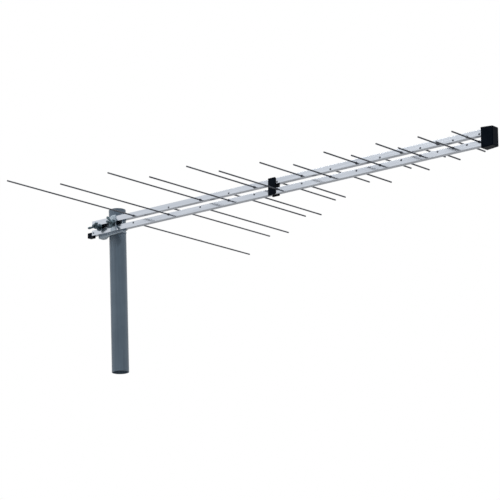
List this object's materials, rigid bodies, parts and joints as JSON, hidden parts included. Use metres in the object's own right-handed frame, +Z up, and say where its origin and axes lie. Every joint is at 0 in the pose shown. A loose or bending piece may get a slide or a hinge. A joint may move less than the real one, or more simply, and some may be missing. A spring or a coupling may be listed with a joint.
{
  "type": "log periodic antenna",
  "caption": "Two-boom log periodic television antenna with graded dipole rods crossed from boom to boom, a black front feed box and a rear clamp on a round mast stub.",
  "frame": {"origin": "centre of the mast tube's lower end", "axes": "+Z up the mast tube, +X along the booms from the mast to the short dipoles and the feed box (the booms droop 2.8 degrees towards that end), +Y away from the booms on the mast's side"},
  "size_m": [1.222, 0.84, 0.409],
  "materials": {
    "dipole_rod": "drawn aluminium rod, plain",
    "boom_tube": "extruded aluminium, satin with lengthwise draw lines",
    "mast_tube": "grey coated steel tube, low gloss",
    "black_moulding": "smooth black weatherproof moulding",
    "insulating_block": "dull black moulding",
    "galvanised_sheet": "galvanised sheet, cold grey",
    "wing_nut_casting": "zinc-plated casting, dull",
    "plated_fastener": "zinc-plated steel"
  },
  "bodies": {
    "root": {"clamp_saddle": "galvanised_sheet", "clamp_strap": "galvanised_sheet", "dipole_01_far": "dipole_rod", "dipole_01_near": "dipole_rod", "dipole_02_far": "dipole_rod", "dipole_02_near": "dipole_rod", "dipole_03_far": "dipole_rod", "dipole_03_near": "dipole_rod", "dipole_04_far": "dipole_rod", "dipole_04_near": "dipole_rod", "dipole_05_far": "dipole_rod", "dipole_05_near": "dipole_rod", "dipole_06_far": "dipole_rod", "dipole_06_near": "dipole_rod", "dipole_07_far": "dipole_rod", "dipole_07_near": "dipole_rod", "dipole_08_far": "dipole_rod", "dipole_08_near": "dipole_rod", "dipole_09_far": "dipole_rod", "dipole_09_near": "dipole_rod", "dipole_10_far": "dipole_rod", "dipole_10_near": "dipole_rod", "dipole_11_far": "dipole_rod", "dipole_11_near": "dipole_rod", "dipole_12_far": "dipole_rod", "dipole_12_near": "dipole_rod", "dipole_13_far": "dipole_rod", "dipole_13_near": "dipole_rod", "dipole_14_far": "dipole_rod", "dipole_14_near": "dipole_rod", "dipole_15_far": "dipole_rod", "dipole_15_near": "dipole_rod", "dipole_16_far": "dipole_rod", "dipole_16_near": "dipole_rod", "feed_block": "insulating_block", "feed_box": "black_moulding", "feed_screw_lower": "plated_fastener", "feed_screw_upper": "plated_fastener", "front_insulator": "insulating_block", "front_washer": "plated_fastener", "front_wing_nut": "wing_nut_casting", "lower_boom": "boom_tube", "mast_bolt": "plated_fastener", "mast_tube": "mast_tube", "mid_spacer": "black_moulding", "plug_screw": "plated_fastener", "rear_insulator": "insulating_block", "rear_nut": "plated_fastener", "rear_plug": "black_moulding", "rear_washer": "plated_fastener", "rear_wing_nut": "wing_nut_casting", "upper_boom": "boom_tube"}
  },
  "joints": []
}
